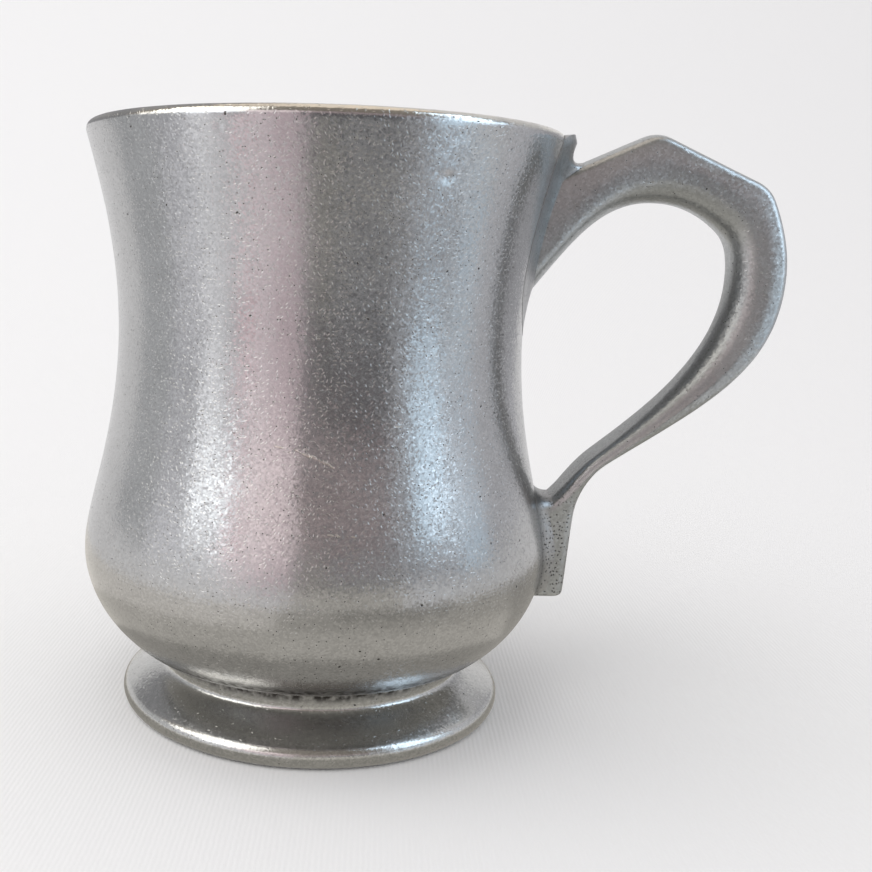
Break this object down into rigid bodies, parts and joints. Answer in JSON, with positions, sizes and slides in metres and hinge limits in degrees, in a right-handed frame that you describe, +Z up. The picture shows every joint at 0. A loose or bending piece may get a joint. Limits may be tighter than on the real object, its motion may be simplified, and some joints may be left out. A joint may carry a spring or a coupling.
{
  "type": "tankard",
  "caption": "Footed metal tankard with a bell-shaped body, a flared hollow foot and a peaked strap handle, soldered together.",
  "frame": {"origin": "centre of the foot, on the plane that the tankard stands on", "axes": "+Z up along the body's axis, +X towards the handle, +Y to the left when the handle points away"},
  "size_m": [0.1358, 0.093, 0.1148],
  "materials": {
    "pewter_body": "worn, tumbled cast pewter with fine scratches and pits",
    "pewter_foot": "worn, tumbled cast pewter with fine scratches and pits",
    "pewter_handle": "as cast and tumbled pewter, duller than the body",
    "solder": "soft solder, pitted where it was filed back"
  },
  "bodies": {
    "root": {"upper_body": "pewter_body", "belly_seam": "solder", "lower_bowl": "pewter_body", "foot_seam": "solder", "foot_ring": "pewter_foot", "handle": "pewter_handle", "upper_handle_joint": "solder", "lower_handle_joint": "solder"}
  },
  "joints": []
}
